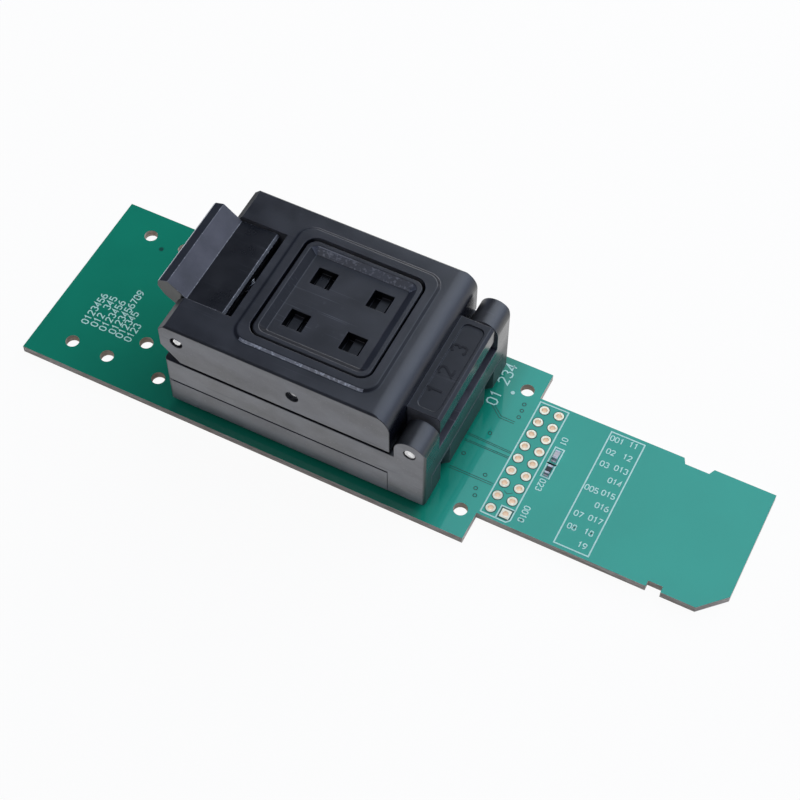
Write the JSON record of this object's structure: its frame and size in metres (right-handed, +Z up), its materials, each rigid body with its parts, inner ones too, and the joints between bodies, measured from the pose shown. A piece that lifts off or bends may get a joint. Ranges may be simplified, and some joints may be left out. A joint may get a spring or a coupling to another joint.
{
  "type": "ic test socket",
  "caption": "Clamshell test socket for a ball grid chip, with hinged latching lid, floating chip guide and spring probes, on an adapter board with a card-shaped tongue.",
  "frame": {"origin": "middle of the board's length and width, on the board's underside", "axes": "+X along the board towards the tip of the card tongue, +Y across the board, +Z up through the closed lid"},
  "size_m": [0.1208, 0.0342, 0.024],
  "materials": {
    "board_laminate": "green solder resist over glass-fibre laminate",
    "gold_plate": "gold plated copper",
    "led_lens": "milky moulded lens",
    "resistor_body": "black glazed ceramic",
    "solder": "tinned",
    "socket_plastic": "dark satin moulded plastic",
    "block_plastic": "dark satin moulded plastic",
    "latch_plastic": "dark satin moulded plastic",
    "pusher_plastic": "dark satin moulded plastic",
    "guide_plastic": "dark moulded plastic",
    "carrier_plastic": "machined natural engineering plastic",
    "spring_steel": "bright spring wire",
    "screw_steel": "plated steel",
    "pin_steel": "ground steel",
    "pad_aluminium": "bead blasted"
  },
  "bodies": {
    "base": {"board": "board_laminate", "header_eyelets": "gold_plate", "card_contacts": "gold_plate", "status_led": "led_lens", "led_resistor": "resistor_body", "chip_end_caps": "solder", "base_housing": "socket_plastic", "probe_block": "block_plastic", "probe_carrier": "carrier_plastic", "contact_probes": "gold_plate", "guide_springs": "spring_steel", "base_screws": "screw_steel", "locating_dowels": "pin_steel", "hinge_pin": "pin_steel"},
    "lid": {"lid_cover": "socket_plastic", "latch_pin": "pin_steel", "latch_spring": "spring_steel", "pusher_shaft": "pin_steel"},
    "latch": {"latch": "latch_plastic"},
    "pusher": {"pusher": "pusher_plastic", "pressure_pad": "pad_aluminium"},
    "guide": {"chip_guide": "guide_plastic"}
  },
  "joints": [
    {"name": "lid_hinge", "type": "hinge", "parent": "base", "child": "lid", "pos_m": [0.00988, 0, 0.0154], "axis": [0, 1, 0], "range_deg": [0, 95]},
    {"name": "latch_pivot", "type": "hinge", "parent": "lid", "child": "latch", "pos_m": [-0.03018, 0, 0.0189], "axis": [0, 1, 0], "range_deg": [0, 15], "stiffness_Nm_per_rad": 0.03, "deforming": ["latch_spring"]},
    {"name": "pusher_rock", "type": "hinge", "parent": "lid", "child": "pusher", "pos_m": [-0.01002, 0, 0.01765], "axis": [0, 1, 0], "range_deg": [-2, 2]},
    {"name": "guide_float", "type": "slide", "parent": "base", "child": "guide", "axis": [0, 0, -1], "range_m": [0, 0.0005], "stiffness_N_per_m": 2000, "deforming": ["guide_springs"]}
  ]
}
